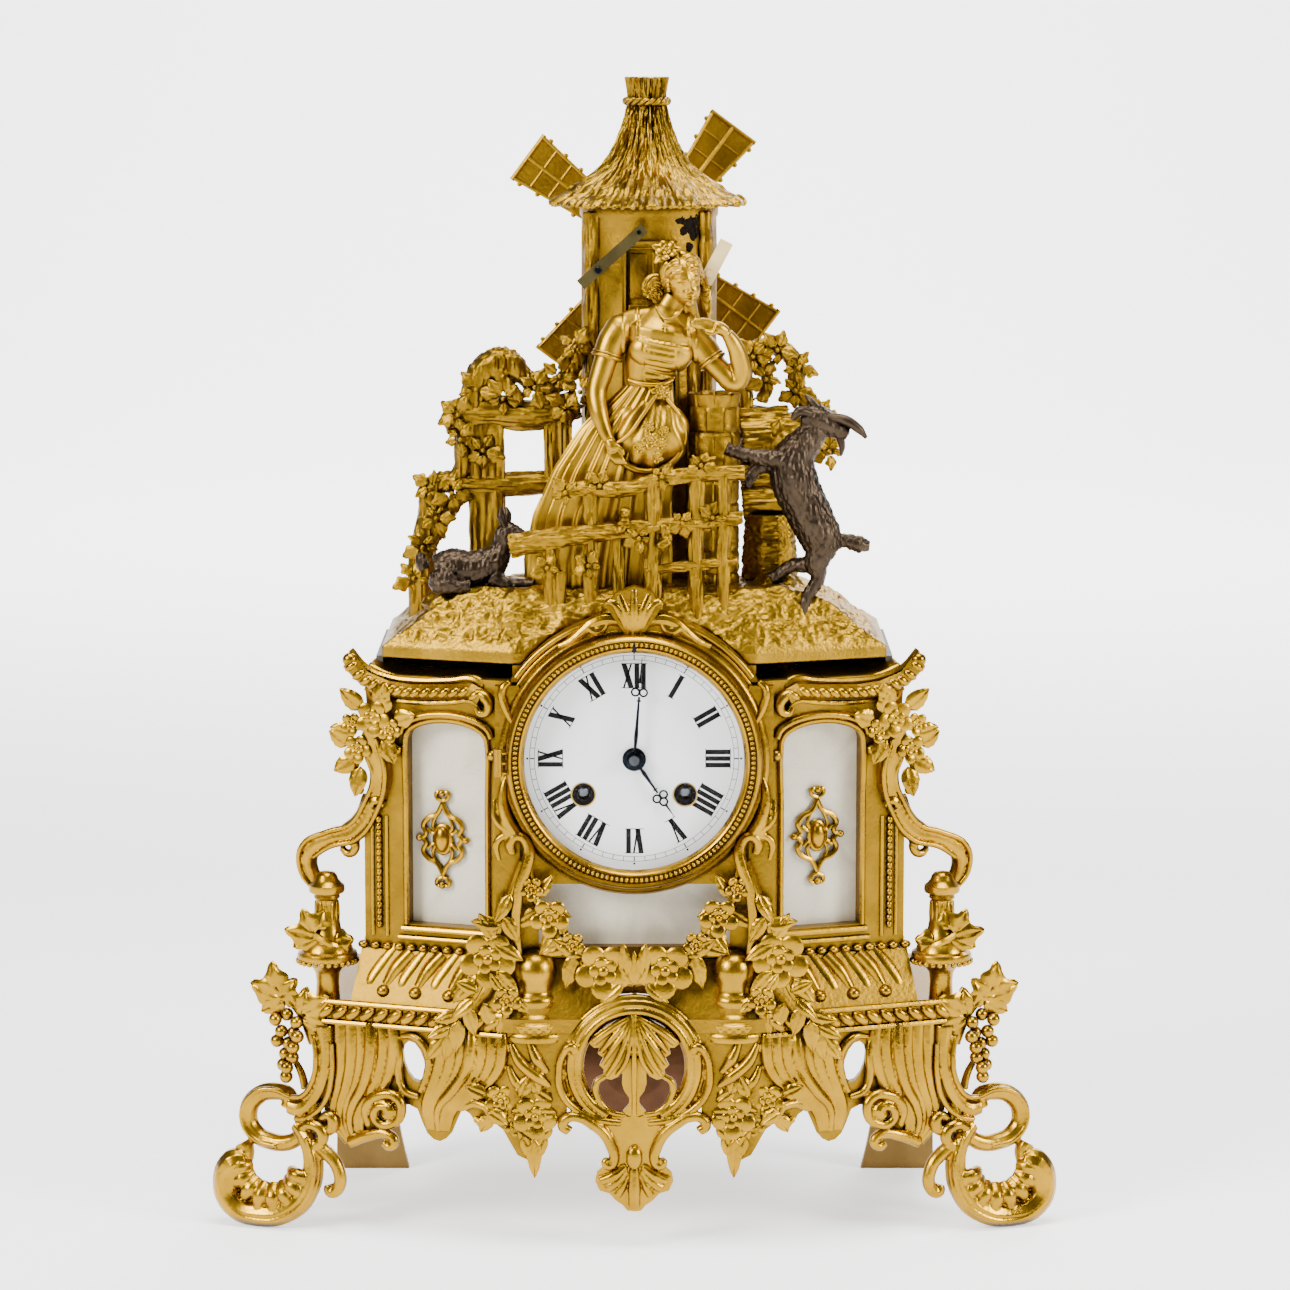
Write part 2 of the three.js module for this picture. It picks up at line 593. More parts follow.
// Case: sheet-metal sides and back
function caseShell() {
  const bottom = BASE_TOP + CLEARANCE;
  const wingEnd = CASE_FRONT + (CASE_HALF_WIDTH - CENTRE_HALF) * Math.tan(CANT);
  const frameEnd = wingEnd + FRAME_THICKNESS / Math.cos(CANT);
  const parts = [box(-CASE_HALF_WIDTH, CASE_HALF_WIDTH, CASE_BACK - CASE_WALL, CASE_BACK, bottom,
    CASE_TOP)];
  for (const side of [-1, 1]) {
    const wall = [side * CASE_HALF_WIDTH, side * (CASE_HALF_WIDTH - CASE_WALL)].sort((a, b) => a - b);
    parts.push(box(...wall, frameEnd + CLEARANCE, CASE_BACK, bottom, CASE_TOP));
  }
  const hole = rodY(0, DIAL_Z, DOOR_HOLE, CASE_BACK - CASE_WALL - 1, CASE_BACK + 1, 32);
  return cut(fused(parts), hole);
}

piece('case_shell', caseShell(), SHEET_METAL);

// Dial surround: front plate with an arched top, a ring round the dial, pilasters and a shell crest
function dialSurround() {
  const bottom = BASE_TOP + CLEARANCE;
  const ringSeat = CASE_FRONT + 0.4;
  const bore = DIAL_RADIUS + CLEARANCE;
  const ring = [[bore, RING_FRONT], [RING_RADIUS - 1.5, RING_FRONT], [RING_RADIUS, RING_FRONT + 2],
    [RING_RADIUS, ringSeat], [bore, ringSeat], [bore, RING_FRONT]];
  const springing = CASE_TOP - FRAME_DROP + CLEARANCE;
  const belowArch = box(-THROUGH, THROUGH, CASE_FRONT - 4, SURROUND_BACK + 1, 0, springing);
  const parts = [
    box(-CENTRE_HALF, CENTRE_HALF, CASE_FRONT, SURROUND_BACK, bottom, CASE_TOP),
    cut(rodY(0, DIAL_Z, ARCH_RADIUS, CASE_FRONT - 3, SURROUND_BACK, 40), belowArch),
  ];
  for (const side of [-1, 1]) {
    const pilaster = [side * (CENTRE_HALF - 3), side * (CENTRE_HALF + 7.5)].sort((a, b) => a - b);
    parts.push(box(...pilaster, CASE_FRONT - 6, CASE_FRONT - 0.8, bottom, CASE_TOP - 8));
    const root = [side * (CENTRE_HALF - 3), side * CENTRE_HALF].sort((a, b) => a - b);
    parts.push(box(...root, CASE_FRONT - 1, CASE_FRONT + 1, bottom, CASE_TOP - 8));
    const crestY = CASE_FRONT - 4;
    const scroll = [[3, 59.6], [12, 58.6], [21, 55.6], [28, 51.6]]
      .map(([x, rise]) => [side * x, crestY, DIAL_Z + rise]);
    parts.push(bar(scroll, [4, 4, 3.5, 3]));
  }
  const shell = [[-4, 55.6], [-12, 67.6], [-8, 73.6], [0, 76.6], [8, 73.6], [12, 67.6], [4, 55.6]]
    .map(([x, rise]) => [x, DIAL_Z + rise]);
  parts.push(plate(shell, CASE_FRONT - 9, CASE_FRONT - 2.5));
  const body = fused(parts);
  const sight = CENTRE_HALF - 11;
  const window = new THREE.Shape([[-sight, bottom + 5], [sight, bottom + 5], [sight, bottom + 33],
    [-sight, bottom + 33]]
    .map((p) => new THREE.Vector2(...p)));
  const bezelSpace = rodY(0, DIAL_Z, BEZEL_RADIUS + 1, BEZEL_FRONT - 5, BEZEL_BACK + CLEARANCE, 40);
  const dialBore = rodY(0, DIAL_Z, bore, BEZEL_FRONT, SURROUND_BACK + 1, 40);
  const opened = cut(body, bezelSpace, dialBore, plate(window, CASE_FRONT - 4, SURROUND_BACK + 1));
  return cut(fused(opened, turnedY(ring, 0, DIAL_Z, 40)), dialBore);
}

piece('dial_surround', dialSurround(), GILT);

// Centre panel of marble behind the surround's lower window
const panelTop = DIAL_Z - PLATE_RADIUS - 1.5;
piece(
  'panel_centre',
  box(
    7 - CENTRE_HALF, CENTRE_HALF - 7, SURROUND_BACK + CLEARANCE,
      SURROUND_BACK + CLEARANCE + PANEL_THICKNESS,
    BASE_TOP + CLEARANCE, panelTop,
  ),
  MARBLE,
);

// Side scroll with its corner flowers, in the plane of the case wing; swell adds clearance for its seat
function sideScroll(side, swell = 0) {
  const path = wingPoints(side, [
    [-4.5, -4, 105], [-5.5, -1, 93], [-9.5, 2, 79], [-3.5, 3, 63], [5.5, 3, 50], [15.5, 3, 48],
    [25.5, 3, 41],
    [26.5, 6, 31], [21.5, 7, 24],
  ].map(([x, depth, rise]) => [FRAME_OUTER_X + x, depth, BASE_TOP + rise]));
  const radii = [4, 4.5, 4.5, 4.5, 4.5, 4.2, 4, 3.6, 4.2].map((radius) => radius + swell);
  const parts = [bar(path, radii)];
  const flowers = [
    [-5.5, 102, 7], [-12.5, 107, 5], [-0.5, 92, 5], [-0.5, 108, 5], [-15.5, 99, 5], [-8.5, 85, 4.5],
    [2.5, 86, 5],
    [0.5, 78, 4.5],
  ];
  for (const [x, rise, radius] of flowers) {
    const along = side * alongWing(FRAME_OUTER_X + x);
    parts.push(lump(along, -4.6, BASE_TOP + rise, radius + swell, 4.2 + swell, radius + swell));
  }
  return fused(parts);
}

// Wing frame: arched window, bead column and rope cornice
function wingFrame(side) {
  const bottom = BASE_TOP + CLEARANCE;
  const top = CASE_TOP - FRAME_DROP;
  const shape = new THREE.Shape(wingOutline(side, [
    [FRAME_INNER_X, bottom], [FRAME_OUTER_X, bottom], [FRAME_OUTER_X, bottom + 56],
    [FRAME_OUTER_X - 7.5, bottom + 66],
    [FRAME_OUTER_X - 11.5, bottom + 78], [FRAME_OUTER_X - 8.5, bottom + 92],
    [FRAME_OUTER_X - 1.5, bottom + 108],
    [FRAME_OUTER_X - 0.5, top], [FRAME_INNER_X, top],
  ]).map((p) => new THREE.Vector2(...p)));
  const inner = side * alongWing(WINDOW_INNER_X);
  const outer = side * alongWing(WINDOW_OUTER_X);
  const spring = BASE_TOP + WINDOW_SPRING;
  const window = new THREE.Path();
  window.moveTo(inner, BASE_TOP + WINDOW_SILL);
  window.lineTo(outer, BASE_TOP + WINDOW_SILL);
  const half = Math.abs(outer - inner) / 2;
  const arch = side > 0 ? [0, Math.PI, false] : [Math.PI, 0, true];
  window.absellipse((inner + outer) / 2, spring, half, WINDOW_ARCH, ...arch);
  shape.holes.push(window);
  const cornice = wingPoints(side, [
    [1.086, 5], [0.984, -2], [0.82, -6], [0.649, -7], [0.384, -6], [0.243, -5], [0.165, -8],
  ].map(([share, rise]) => [FRAME_INNER_X + share * (FRAME_OUTER_X - FRAME_INNER_X), -1.5, top + rise]));
  const frame = fused(
    plate(shape, 0, FRAME_THICKNESS),
    bar(cornice, [4, 3.5, 3.5, 3.5, 3.5, 3.5, 4]),
  );
  return cut(frame, sideScroll(side, CLEARANCE));
}

// Marble panel behind a wing frame
function wingPanel(side) {
  const edges = [WINDOW_INNER_X - PANEL_LAP, WINDOW_OUTER_X + PANEL_LAP].map((x) => side * alongWing(x));
  const front = FRAME_THICKNESS + CLEARANCE;
  const low = BASE_TOP + WINDOW_SILL - PANEL_LAP;
  const high = BASE_TOP + WINDOW_SPRING + WINDOW_ARCH + PANEL_LAP;
  return box(Math.min(...edges), Math.max(...edges), front, front + PANEL_THICKNESS, low, high);
}

// Where each ornament sits: shares of the window from its middle, and height over the base
const ORNAMENT_PLACES = { [-1]: [0.116, 50], 1: [0.007, 52] };
const ORNAMENT_REACH = 0.301;

// Pierced ornament on a marble panel: a lozenge with an oval boss, trefoil ends and ball tips
function panelOrnament(side) {
  const [place, rise] = ORNAMENT_PLACES[side];
  const shift = place * (WINDOW_OUTER_X - WINDOW_INNER_X);
  const x = side * alongWing((WINDOW_INNER_X + WINDOW_OUTER_X) / 2 + shift);
  const z = BASE_TOP + rise;
  const reach = ORNAMENT_REACH * (WINDOW_OUTER_X - WINDOW_INNER_X);
  const outline = [
    [0, 17], [0.36, 11], [0.82, 7], [0.73, 0], [0.82, -7], [0.36, -11], [0, -17], [-0.36, -11], [-0.82, -7],
    [-0.73, 0], [-0.82, 7], [-0.36, 11],
  ].map(([share, dz]) => [x + share * reach, z + dz]);
  const back = FRAME_THICKNESS;
  const front = back - 2.2;
  const body = plate(outline, front, back);
  const holes = [];
  for (const [share, dz] of [[-0.455, 5.5], [0.455, 5.5], [-0.455, -5.5], [0.455, -5.5]]) {
    holes.push(rodY(x + share * reach, z + dz, 0.18 * reach, front - 1, back + 1, 6));
  }
  const tips = [];
  for (const [share, dz, radius] of [[0, 19, 3], [0, -19, 3], [-1, 0, 2.4], [1, 0, 2.4]]) {
    tips.push(rodY(x + share * reach, z + dz, radius, front, back, 6));
  }
  const boss = cut(lump(x, front, z, 0.36 * reach, 2.6, 6.5),
    box(-THROUGH, THROUGH, back, THROUGH, 0, THROUGH));
  const arms = box(x - reach, x + reach, front, back, z - 1.2, z + 1.2);
  return fused(cut(body, holes), tips, arms, boss);
}

for (const [label, side] of Object.entries(SIDES)) {
  const wing = wingGroup(side, CASE_FRONT);
  piece('wing_frame_' + label, wingFrame(side), GILT, wing);
  piece('side_scroll_' + label, sideScroll(side), GILT, wing);
  piece('panel_' + label, wingPanel(side), MARBLE, wing);
  piece('panel_ornament_' + label, panelOrnament(side), GILT, wing);
}

// Garland: a swag of flowers below the dial with a drop on each side
function garland() {
  const parts = [];
  for (const side of [-1, 1]) {
    const swag = [[46, -7.5, 41], [43, -6.5, 27], [35, -6.5, 17], [22, -9, 4], [11, -12, -5],
      [0, -12.5, -8]];
    const drop = [[49, -10, 45], [55, -10.5, 28], [60, -10.5, 14], [66, -10.5, 1], [69, -12, -15],
      [70, -14, -30], [71, -14, -39]];
    const mirrored = (points) => points.map(([x, y, z]) => [side * x, CASE_FRONT + y, BASE_TOP + z]);
    parts.push(bar(mirrored(swag), [3.2, 3.2, 3.2, 3.4, 3.4, 3.4]));
    parts.push(bar(mirrored(drop), [3.2, 3.2, 3.2, 3.4, 3.2, 3, 2]));
    const flowers = [[13, -12.5, -5, 7.5, 4], [37, -7.5, 19, 6.5, 4.5], [66, -11, 2, 7.5, 4.5],
      [66, -12, -17, 5.5, 4],
      [71, -14, -29, 5, 3.4], [26, -9.5, 6, 5, 4]];
    for (const [x, y, z, radius, depth] of flowers) {
      parts.push(lump(side * x, CASE_FRONT + y, BASE_TOP + z, radius, depth, radius));
    }
  }
  return fused(parts);
}

piece('garland', garland(), GILT);

// Dial: enamelled disc with a centre hole and two winding holes
function dial() {
  const tools = [rodY(0, DIAL_Z, HOUR_PIPE_RADIUS + CLEARANCE, DIAL_FACE - 1, DIAL_BACK + 1)];
  for (const side of [-1, 1]) {
    tools.push(rodY(side * WINDING_X, WINDING_Z, WINDING_HOLE, DIAL_FACE - 1, DIAL_BACK + 1));
  }
  return cut(rodY(0, DIAL_Z, DIAL_RADIUS, DIAL_FACE, DIAL_BACK, 40), tools);
}

piece('dial', dial(), ENAMEL);

// Bezel: a rebated ring with a hinge knuckle at its left
const glassRadius = BEZEL_SIGHT + 2;
const lip = BEZEL_BACK - BEZEL_REBATE;
function bezel() {
  const seat = glassRadius + CLEARANCE;
  const profile = [
    [BEZEL_RADIUS, BEZEL_BACK], [BEZEL_RADIUS, BEZEL_BACK - 4], [BEZEL_RADIUS - 1.5, BEZEL_FRONT + 1.5],
    [BEZEL_RADIUS - 4, BEZEL_FRONT], [BEZEL_SIGHT + 1.5, BEZEL_FRONT + 2], [BEZEL_SIGHT, lip - 1.5],
    [BEZEL_SIGHT, lip],
    [seat, lip], [seat, BEZEL_BACK], [BEZEL_RADIUS, BEZEL_BACK],
  ];
  const half = KNUCKLE_LENGTH / 2;
  const knuckle = rodZ(-HINGE_X, HINGE_Y, KNUCKLE_RADIUS, DIAL_Z - half, DIAL_Z + half, 10);
  const strap = box(-HINGE_X, -BEZEL_RADIUS + 2, HINGE_Y - 1, HINGE_Y + 1, DIAL_Z - half, DIAL_Z + half);
  return fused(turnedY(profile, 0, DIAL_Z, 32), knuckle, strap);
}

piece('bezel', bezel(), GILT);

// Domed glass in the bezel's rebate
function bezelGlass() {
  const front = lip + CLEARANCE;
  const dome = (radius, face) => face - GLASS_RISE * (1 - (radius / BEZEL_SIGHT) ** 2);
  const rings = [0, 24, BEZEL_SIGHT - 2];
  const profile = rings.map((radius) => [radius, dome(radius, front + GLASS_THICKNESS)]);
  profile.push([glassRadius, front + GLASS_THICKNESS], [glassRadius, front]);
  profile.push(...rings.reverse().map((radius) => [radius, dome(radius, front)]));
  return turnedY(profile, 0, DIAL_Z, 32);
}

piece('bezel_glass', bezelGlass(), GLASS);

// Openwork hand with a trefoil, turned clockwise from twelve
function hand(length, trefoil, angle, back, hub, bore) {
  const front = back - HAND_THICKNESS;
  const parts = [
    plate([[-0.7, 0], [0.7, 0], [0.7, trefoil], [0.4, length], [-0.4, length], [-0.7, trefoil]],
      front, back),
    rodY(0, 0, hub, front, back, 16),
  ];
  for (const [dx, dz] of [[-2, 0], [2, 0], [0, 2.6]]) {
    parts.push(cut(rodY(dx, trefoil + dz, 2.2, front, back, 8),
      rodY(dx, trefoil + dz, 1.2, front - 1, back + 1, 6)));
  }
  const solid = cut(fused(parts), rodY(0, 0, bore, front - 1, back + 1, 16));
  return { solid, angle };
}

function placeHand(name, { solid, angle }) {
  const mesh = piece(name, solid, BLUED_STEEL);
  mesh.rotation.y = angle;
  mesh.position.z = DIAL_Z;
}

const arborTip = 1.2;
placeHand('hour_hand', hand(HOUR_HAND_LENGTH, 20, HOUR_HAND_ANGLE, HOUR_HAND_BACK, 5.2, HOUR_PIPE_BORE));
placeHand('minute_hand', hand(MINUTE_HAND_LENGTH, 30, MINUTE_HAND_ANGLE, MINUTE_HAND_BACK, 4,
  arborTip + CLEARANCE));

// Motion work: cannon pinion, minute wheel and hour wheel, 12 to 1
const wheelZ = DIAL_Z + GEAR_CENTRES;
const towardsWheel = Math.PI / 2;
const halfPitch = (teeth) => Math.PI / teeth;

function centreArbor() {
  return fused(
    rodY(0, DIAL_Z, CANNON_RADIUS, MINUTE_HAND_BACK + CLEARANCE, REAR_LAYER + GEAR_WIDTH, 16),
    wheel(0, DIAL_Z, CANNON_TEETH, GEAR_MODULE, REAR_LAYER, REAR_LAYER + GEAR_WIDTH, towardsWheel, 1),
    rodY(0, DIAL_Z, arborTip, MINUTE_HAND_BACK - 2.2, BACK_PLATE_BACK, 12),
    rodY(0, DIAL_Z, 2.2, MINUTE_HAND_BACK - 2.2, MINUTE_HAND_BACK - HAND_THICKNESS - CLEARANCE, 12),
  );
}

const studRadius = 1.2;
function minuteWheel() {
  const facing = towardsWheel + Math.PI;
  const bore = studRadius + CLEARANCE;
  return fused(
    wheel(0, wheelZ, MINUTE_TEETH, GEAR_MODULE, REAR_LAYER, REAR_LAYER + GEAR_WIDTH,
      facing + halfPitch(MINUTE_TEETH), bore),
    wheel(0, wheelZ, MINUTE_PINION_TEETH, GEAR_MODULE, FRONT_LAYER, REAR_LAYER, facing, bore),
  );
}

function hourWheel() {
  const pipe = cut(
    rodY(0, DIAL_Z, HOUR_PIPE_RADIUS, HOUR_HAND_BACK + CLEARANCE, FRONT_LAYER + GEAR_WIDTH, 16),
    rodY(0, DIAL_Z, HOUR_PIPE_BORE, HOUR_HAND_BACK - 1, FRONT_LAYER + GEAR_WIDTH + 1, 16),
  );
  const phase = towardsWheel + halfPitch(HOUR_TEETH);
  return fused(pipe, wheel(0, DIAL_Z, HOUR_TEETH, GEAR_MODULE, FRONT_LAYER, FRONT_LAYER + GEAR_WIDTH,
    phase, HOUR_PIPE_BORE));
}

piece('centre_arbor', centreArbor(), STEEL);
piece('minute_wheel', minuteWheel(), BRASS);
piece('hour_wheel', hourWheel(), BRASS);

// Movement plates
const arborHole = ARBOR_RADIUS + CLEARANCE;
const pivotHole = arborTip + CLEARANCE;
const windingPlaces = [-1, 1].map((side) => side * WINDING_X);

function frontPlate() {
  const holes = windingPlaces.map((x) => rodY(x, WINDING_Z, arborHole, PLATE_FRONT - 1, PLATE_BACK + 1,
    12));
  holes.push(rodY(0, DIAL_Z, pivotHole, PLATE_FRONT - 1, PLATE_BACK + 1, 12));
  const disc = cut(rodY(0, DIAL_Z, PLATE_RADIUS, PLATE_FRONT, PLATE_BACK, 40), holes);
  return fused(disc, rodY(0, wheelZ, studRadius, FRONT_LAYER - 0.5, PLATE_BACK, 10));
}

function backPlate() {
  const through = [BACK_PLATE_FRONT - 1, BACK_PLATE_BACK + 1];
  const holes = windingPlaces.map((x) => rodY(x, WINDING_Z, arborHole, ...through, 12));
  for (const [x, z] of [[0, DIAL_Z], [0, ANCHOR_Z], [-HAMMER_X, HAMMER_Z]]) {
    holes.push(rodY(x, z, pivotHole, ...through, 8));
  }
  const parts = [cut(rodY(0, DIAL_Z, BACK_PLATE_RADIUS, BACK_PLATE_FRONT, BACK_PLATE_BACK, 28), holes)];
  for (const degrees of [0, 60, 120, 180, 270]) {
    const angle = THREE.MathUtils.degToRad(degrees);
    const [x, z] = [PILLAR_CIRCLE * Math.cos(angle), DIAL_Z + PILLAR_CIRCLE * Math.sin(angle)];
    parts.push(rodY(x, z, PILLAR_RADIUS, PLATE_BACK + CLEARANCE, BACK_PLATE_BACK, 8));
  }
  parts.push(box(-5, 5, BACK_PLATE_FRONT, PENDULUM_Y + 3, ANCHOR_Z + 3, ANCHOR_Z + 7));
  parts.push(rodY(BELL_X, BELL_Z, 2, BACK_PLATE_FRONT, BELL_FRONT + BELL_DEPTH + 3, 10));
  parts.push(rodY(BELL_X, BELL_Z, 4, BACK_PLATE_FRONT, BELL_FRONT + BELL_DEPTH - BELL_WALL - CLEARANCE,
    10));
  return fused(parts);
}

piece('movement_front_plate', frontPlate(), BRASS);
piece('movement_back_plate', backPlate(), BRASS);

// Spring barrels and their winding arbors
const barrelFront = (PLATE_BACK + BACK_PLATE_FRONT - BARREL_LENGTH) / 2;
function barrel(x) {
  const drum = rodY(x, WINDING_Z, BARREL_RADIUS, barrelFront, barrelFront + BARREL_LENGTH, 24);
  return cut(drum, rodY(x, WINDING_Z, arborHole, barrelFront - 1, barrelFront + BARREL_LENGTH + 1, 12));
}

function windingArbor(x) {
  const half = WINDING_SQUARE / 2;
  const tip = DIAL_BACK + 3.5;
  return fused(
    rodY(x, WINDING_Z, ARBOR_RADIUS, PLATE_FRONT - 0.5, BACK_PLATE_BACK, 12),
    box(x - half, x + half, tip, PLATE_FRONT, WINDING_Z - half, WINDING_Z + half),
  );
}

piece('strike_barrel', barrel(-WINDING_X), BRASS);
piece('going_barrel', barrel(WINDING_X), BRASS);
piece('strike_arbor', windingArbor(-WINDING_X), STEEL);
piece('going_arbor', windingArbor(WINDING_X), STEEL);

// Escapement: pointed escape wheel, anchor with its crutch
function escapeWheel() {
  const outline = [];
  for (let i = 0; i < ESCAPE_TEETH; i += 1) {
    for (const [radius, share] of [[ESCAPE_RADIUS - 2.2, 0], [ESCAPE_RADIUS, 0.75],
      [ESCAPE_RADIUS - 2.2, 0.9]]) {
      const angle = 2 * Math.PI * (i + share) / ESCAPE_TEETH;
      outline.push([radius * Math.cos(angle), ESCAPE_Z + radius * Math.sin(angle)]);
    }
  }
  return fused(
    plate(outline, TRAIN_Y, TRAIN_Y + GEAR_WIDTH),
    rodY(0, ESCAPE_Z, 1, PLATE_BACK + CLEARANCE, BACK_PLATE_FRONT - CLEARANCE, 10),
  );
}

function anchor() {
  const middle = TRAIN_Y + GEAR_WIDTH / 2;
  const tipZ = ANCHOR_Z - 6.5;
  const crutchY = (BACK_PLATE_BACK + PENDULUM_Y) / 2;
  const forkZ = ANCHOR_Z - 34;
  return fused(
    rodY(0, ANCHOR_Z, arborTip, PLATE_BACK + CLEARANCE, crutchY + 1.5, 10),
    bar([[-9.5, middle, tipZ], [-7, middle, ANCHOR_Z - 1.5], [0, middle, ANCHOR_Z],
      [7, middle, ANCHOR_Z - 1.5], [9.5, middle, tipZ]],
      [0.9, 1.2, 1.4, 1.2, 0.9]),
    box(-1, 1, crutchY - 0.8, crutchY + 0.8, forkZ, ANCHOR_Z),
    box(-1, 1, crutchY - 0.8, PENDULUM_Y - ROD_RADIUS - CLEARANCE, forkZ, forkZ + 3),
  );
}

piece('escape_wheel', escapeWheel(), BRASS);
piece('anchor', anchor(), STEEL);

// Pendulum: rod with its rating nut, and a lens-shaped bob
function pendulumRod() {
  const bottom = BOB_Z - BOB_RADIUS - 6;
  return fused(
    rodZ(0, PENDULUM_Y, ROD_RADIUS, bottom, ANCHOR_Z + 2.5, 8),
    rodZ(0, PENDULUM_Y, 3, bottom + 1.5, bottom + 5, 10),
  );
}

function pendulumBob() {
  const half = BOB_THICKNESS / 2;
  const lens = turnedY([[0, -half], [BOB_RADIUS * 0.6, -half * 0.8], [BOB_RADIUS, -1], [BOB_RADIUS, 1],
    [BOB_RADIUS * 0.6, half * 0.8],
    [0, half]].map(([radius, y]) => [radius, PENDULUM_Y + y]), 0, BOB_Z, 28);
  return cut(lens, rodZ(0, PENDULUM_Y, ROD_RADIUS + CLEARANCE, BOB_Z - BOB_RADIUS - 2,
    BOB_Z + BOB_RADIUS + 2, 8));
}

piece('pendulum_rod', pendulumRod(), STEEL);
piece('pendulum_bob', pendulumBob(), BOB_BRONZE);

// Bell and hammer behind the back plate
function bell() {
  const outer = [[BELL_RADIUS, 0], [BELL_RADIUS * 0.95, 0.3], [BELL_RADIUS * 0.8, 0.66],
    [BELL_RADIUS * 0.48, 0.92]];
  const profile = outer.map(([radius, depth]) => [radius, BELL_FRONT + depth * BELL_DEPTH]);
  profile.push([2.4, BELL_FRONT + BELL_DEPTH], [2.4, BELL_FRONT + BELL_DEPTH - BELL_WALL]);
  const inner = outer.reverse().map(([radius, depth]) => [radius - BELL_WALL,
    BELL_FRONT + depth * (BELL_DEPTH - BELL_WALL)]);
  profile.push(...inner, profile[0]);
  return turnedY(profile, BELL_X, BELL_Z, 20);
}

function bellHammer() {
  const y = BELL_FRONT + 2;
  const headX = BELL_X - BELL_RADIUS - HAMMER_HEAD - HAMMER_REST_GAP;
  return fused(
    rodY(-HAMMER_X, HAMMER_Z, arborTip, PLATE_BACK + CLEARANCE, y + 1.5, 10),
    bar([[-HAMMER_X, y, HAMMER_Z + 2], [-HAMMER_X + 1, y, HAMMER_Z - 14], [headX, y, BELL_Z + 1]],
      [1.4, 1.2, 1.2]),
    lump(headX, y, BELL_Z, HAMMER_HEAD),
  );
}

piece('bell', bell(), BRASS);
piece('bell_hammer', bellHammer(), STEEL);

// Back door, hinged at its left seen from the front
function backDoor() {
  const front = CASE_BACK + CLEARANCE;
  const hingeY = front + DOOR_THICKNESS + 0.5;
  const half = KNUCKLE_LENGTH / 2;
  return fused(
    rodY(0, DIAL_Z, DOOR_RADIUS, front, front + DOOR_THICKNESS, 36),
    rodZ(-DOOR_HINGE_X, hingeY, KNUCKLE_RADIUS, DIAL_Z - half, DIAL_Z + half, 10),
    box(-DOOR_HINGE_X, -DOOR_RADIUS + 3, front + 1, front + DOOR_THICKNESS, DIAL_Z - half, DIAL_Z + half),
    rodY(DOOR_RADIUS - 6, DIAL_Z, 3, front, front + DOOR_THICKNESS + 6, 12),
  );
}

piece('back_door', backDoor(), BRASS);

// Ring of the terrace: its front and back set in by a share of what its sides do
function terraceRing(rise, inset, wall = 0) {
  const frontInset = 0.26 * inset + wall;
  const halfWidth = TERRACE_HALF_WIDTH - inset - wall + frontInset;
  const back = TERRACE_BACK - 1.2 * inset - wall;
  return plan(TERRACE_FRONT, halfWidth, back, TERRACE_BOTTOM + rise, frontInset);
}

// Terrace: a hollow mound with a rim, arched over the dial; swell adds clearance for what stands on it
function terraceMound(swell = 0) {
  const skirt = [[0, 0], [5, 0]];
  const slope = [[14, 12], [24, 25], [TERRACE_HEIGHT - 3, 34], [TERRACE_HEIGHT, 45]];
  const rings = skirt.map(([rise, inset]) => terraceRing(rise, inset, -swell));
  rings.push(...slope.map(([rise, inset]) => terraceRing(rise + swell, inset, -swell)));
  return fused(loft(rings), terraceRocks(swell));
}

// Rocks on the terrace under the standing goat and at the far left
function terraceRocks(swell) {
  const rocks = [[63, FIGURE_Y + 9, TERRACE_TOP - 3, 13, 11, 9],
    [-80, FIGURE_Y + 5, TERRACE_TOP - 9, 15, 13, 9]];
  return rocks.map(([x, y, z, ...radii]) => lump(x, y, z, ...radii.map((radius) => radius + swell)));
}

function terrace() {
  const steps = [[-1, 0], [5, 0], [12, 12], [21, 25], [TERRACE_HEIGHT - TERRACE_WALL - 2, 34]];
  const hollow = loft(steps.map(([rise, inset]) => terraceRing(rise, inset, TERRACE_WALL)));
  const arch = rodY(0, DIAL_Z, ARCH_RADIUS + CLEARANCE, TERRACE_FRONT - 20, SURROUND_BACK + CLEARANCE, 40);
  const plateSpace = rodY(0, DIAL_Z, PLATE_RADIUS + CLEARANCE, SURROUND_BACK, PLATE_BACK + CLEARANCE, 40);
  return cut(terraceMound(), hollow, arch, plateSpace);
}

piece('terrace', terrace(), GILT_MATT);

// Seats a piece of the group on the terrace
const terraceSeat = terraceMound(CLEARANCE);
const seated = (solid) => cut(solid, terraceSeat);
const SUNK = -24;
const ground = TERRACE_TOP + SUNK;
const above = (points) => points.map(([x, y, rise]) => [x, y, TERRACE_TOP + rise]);

// Outside of the mill tower: a round wall with posts; swell adds clearance for what is fixed to it
function towerBody(swell = 0) {
  const parts = [rodZ(MILL_X, MILL_Y, TOWER_RADIUS + swell, ground, TOWER_TOP, 24)];
  const reach = TOWER_RADIUS - 1;
  for (const [angle, radius] of [[-2.55, 4], [-0.62, 4], [-1.95, 2.5], [-1.2, 2.5]]) {
    const [x, y] = [MILL_X + reach * Math.cos(angle), MILL_Y + reach * Math.sin(angle)];
    parts.push(rodZ(x, y, radius + swell, ground, TOWER_TOP, 8));
  }
  return fused(parts);
}

function millTower() {
  const room = rodZ(MILL_X, MILL_Y, TOWER_RADIUS - TOWER_WALL, ground - 1, TOWER_TOP + 1, 24);
  const axleHole = rodY(SAIL_X, SAIL_Z, AXLE_RADIUS + CLEARANCE, MILL_Y, TOWER_REAR + 1);
  return seated(cut(towerBody(), room, axleHole));
}

piece('mill_tower', millTower(), GILT_MATT);

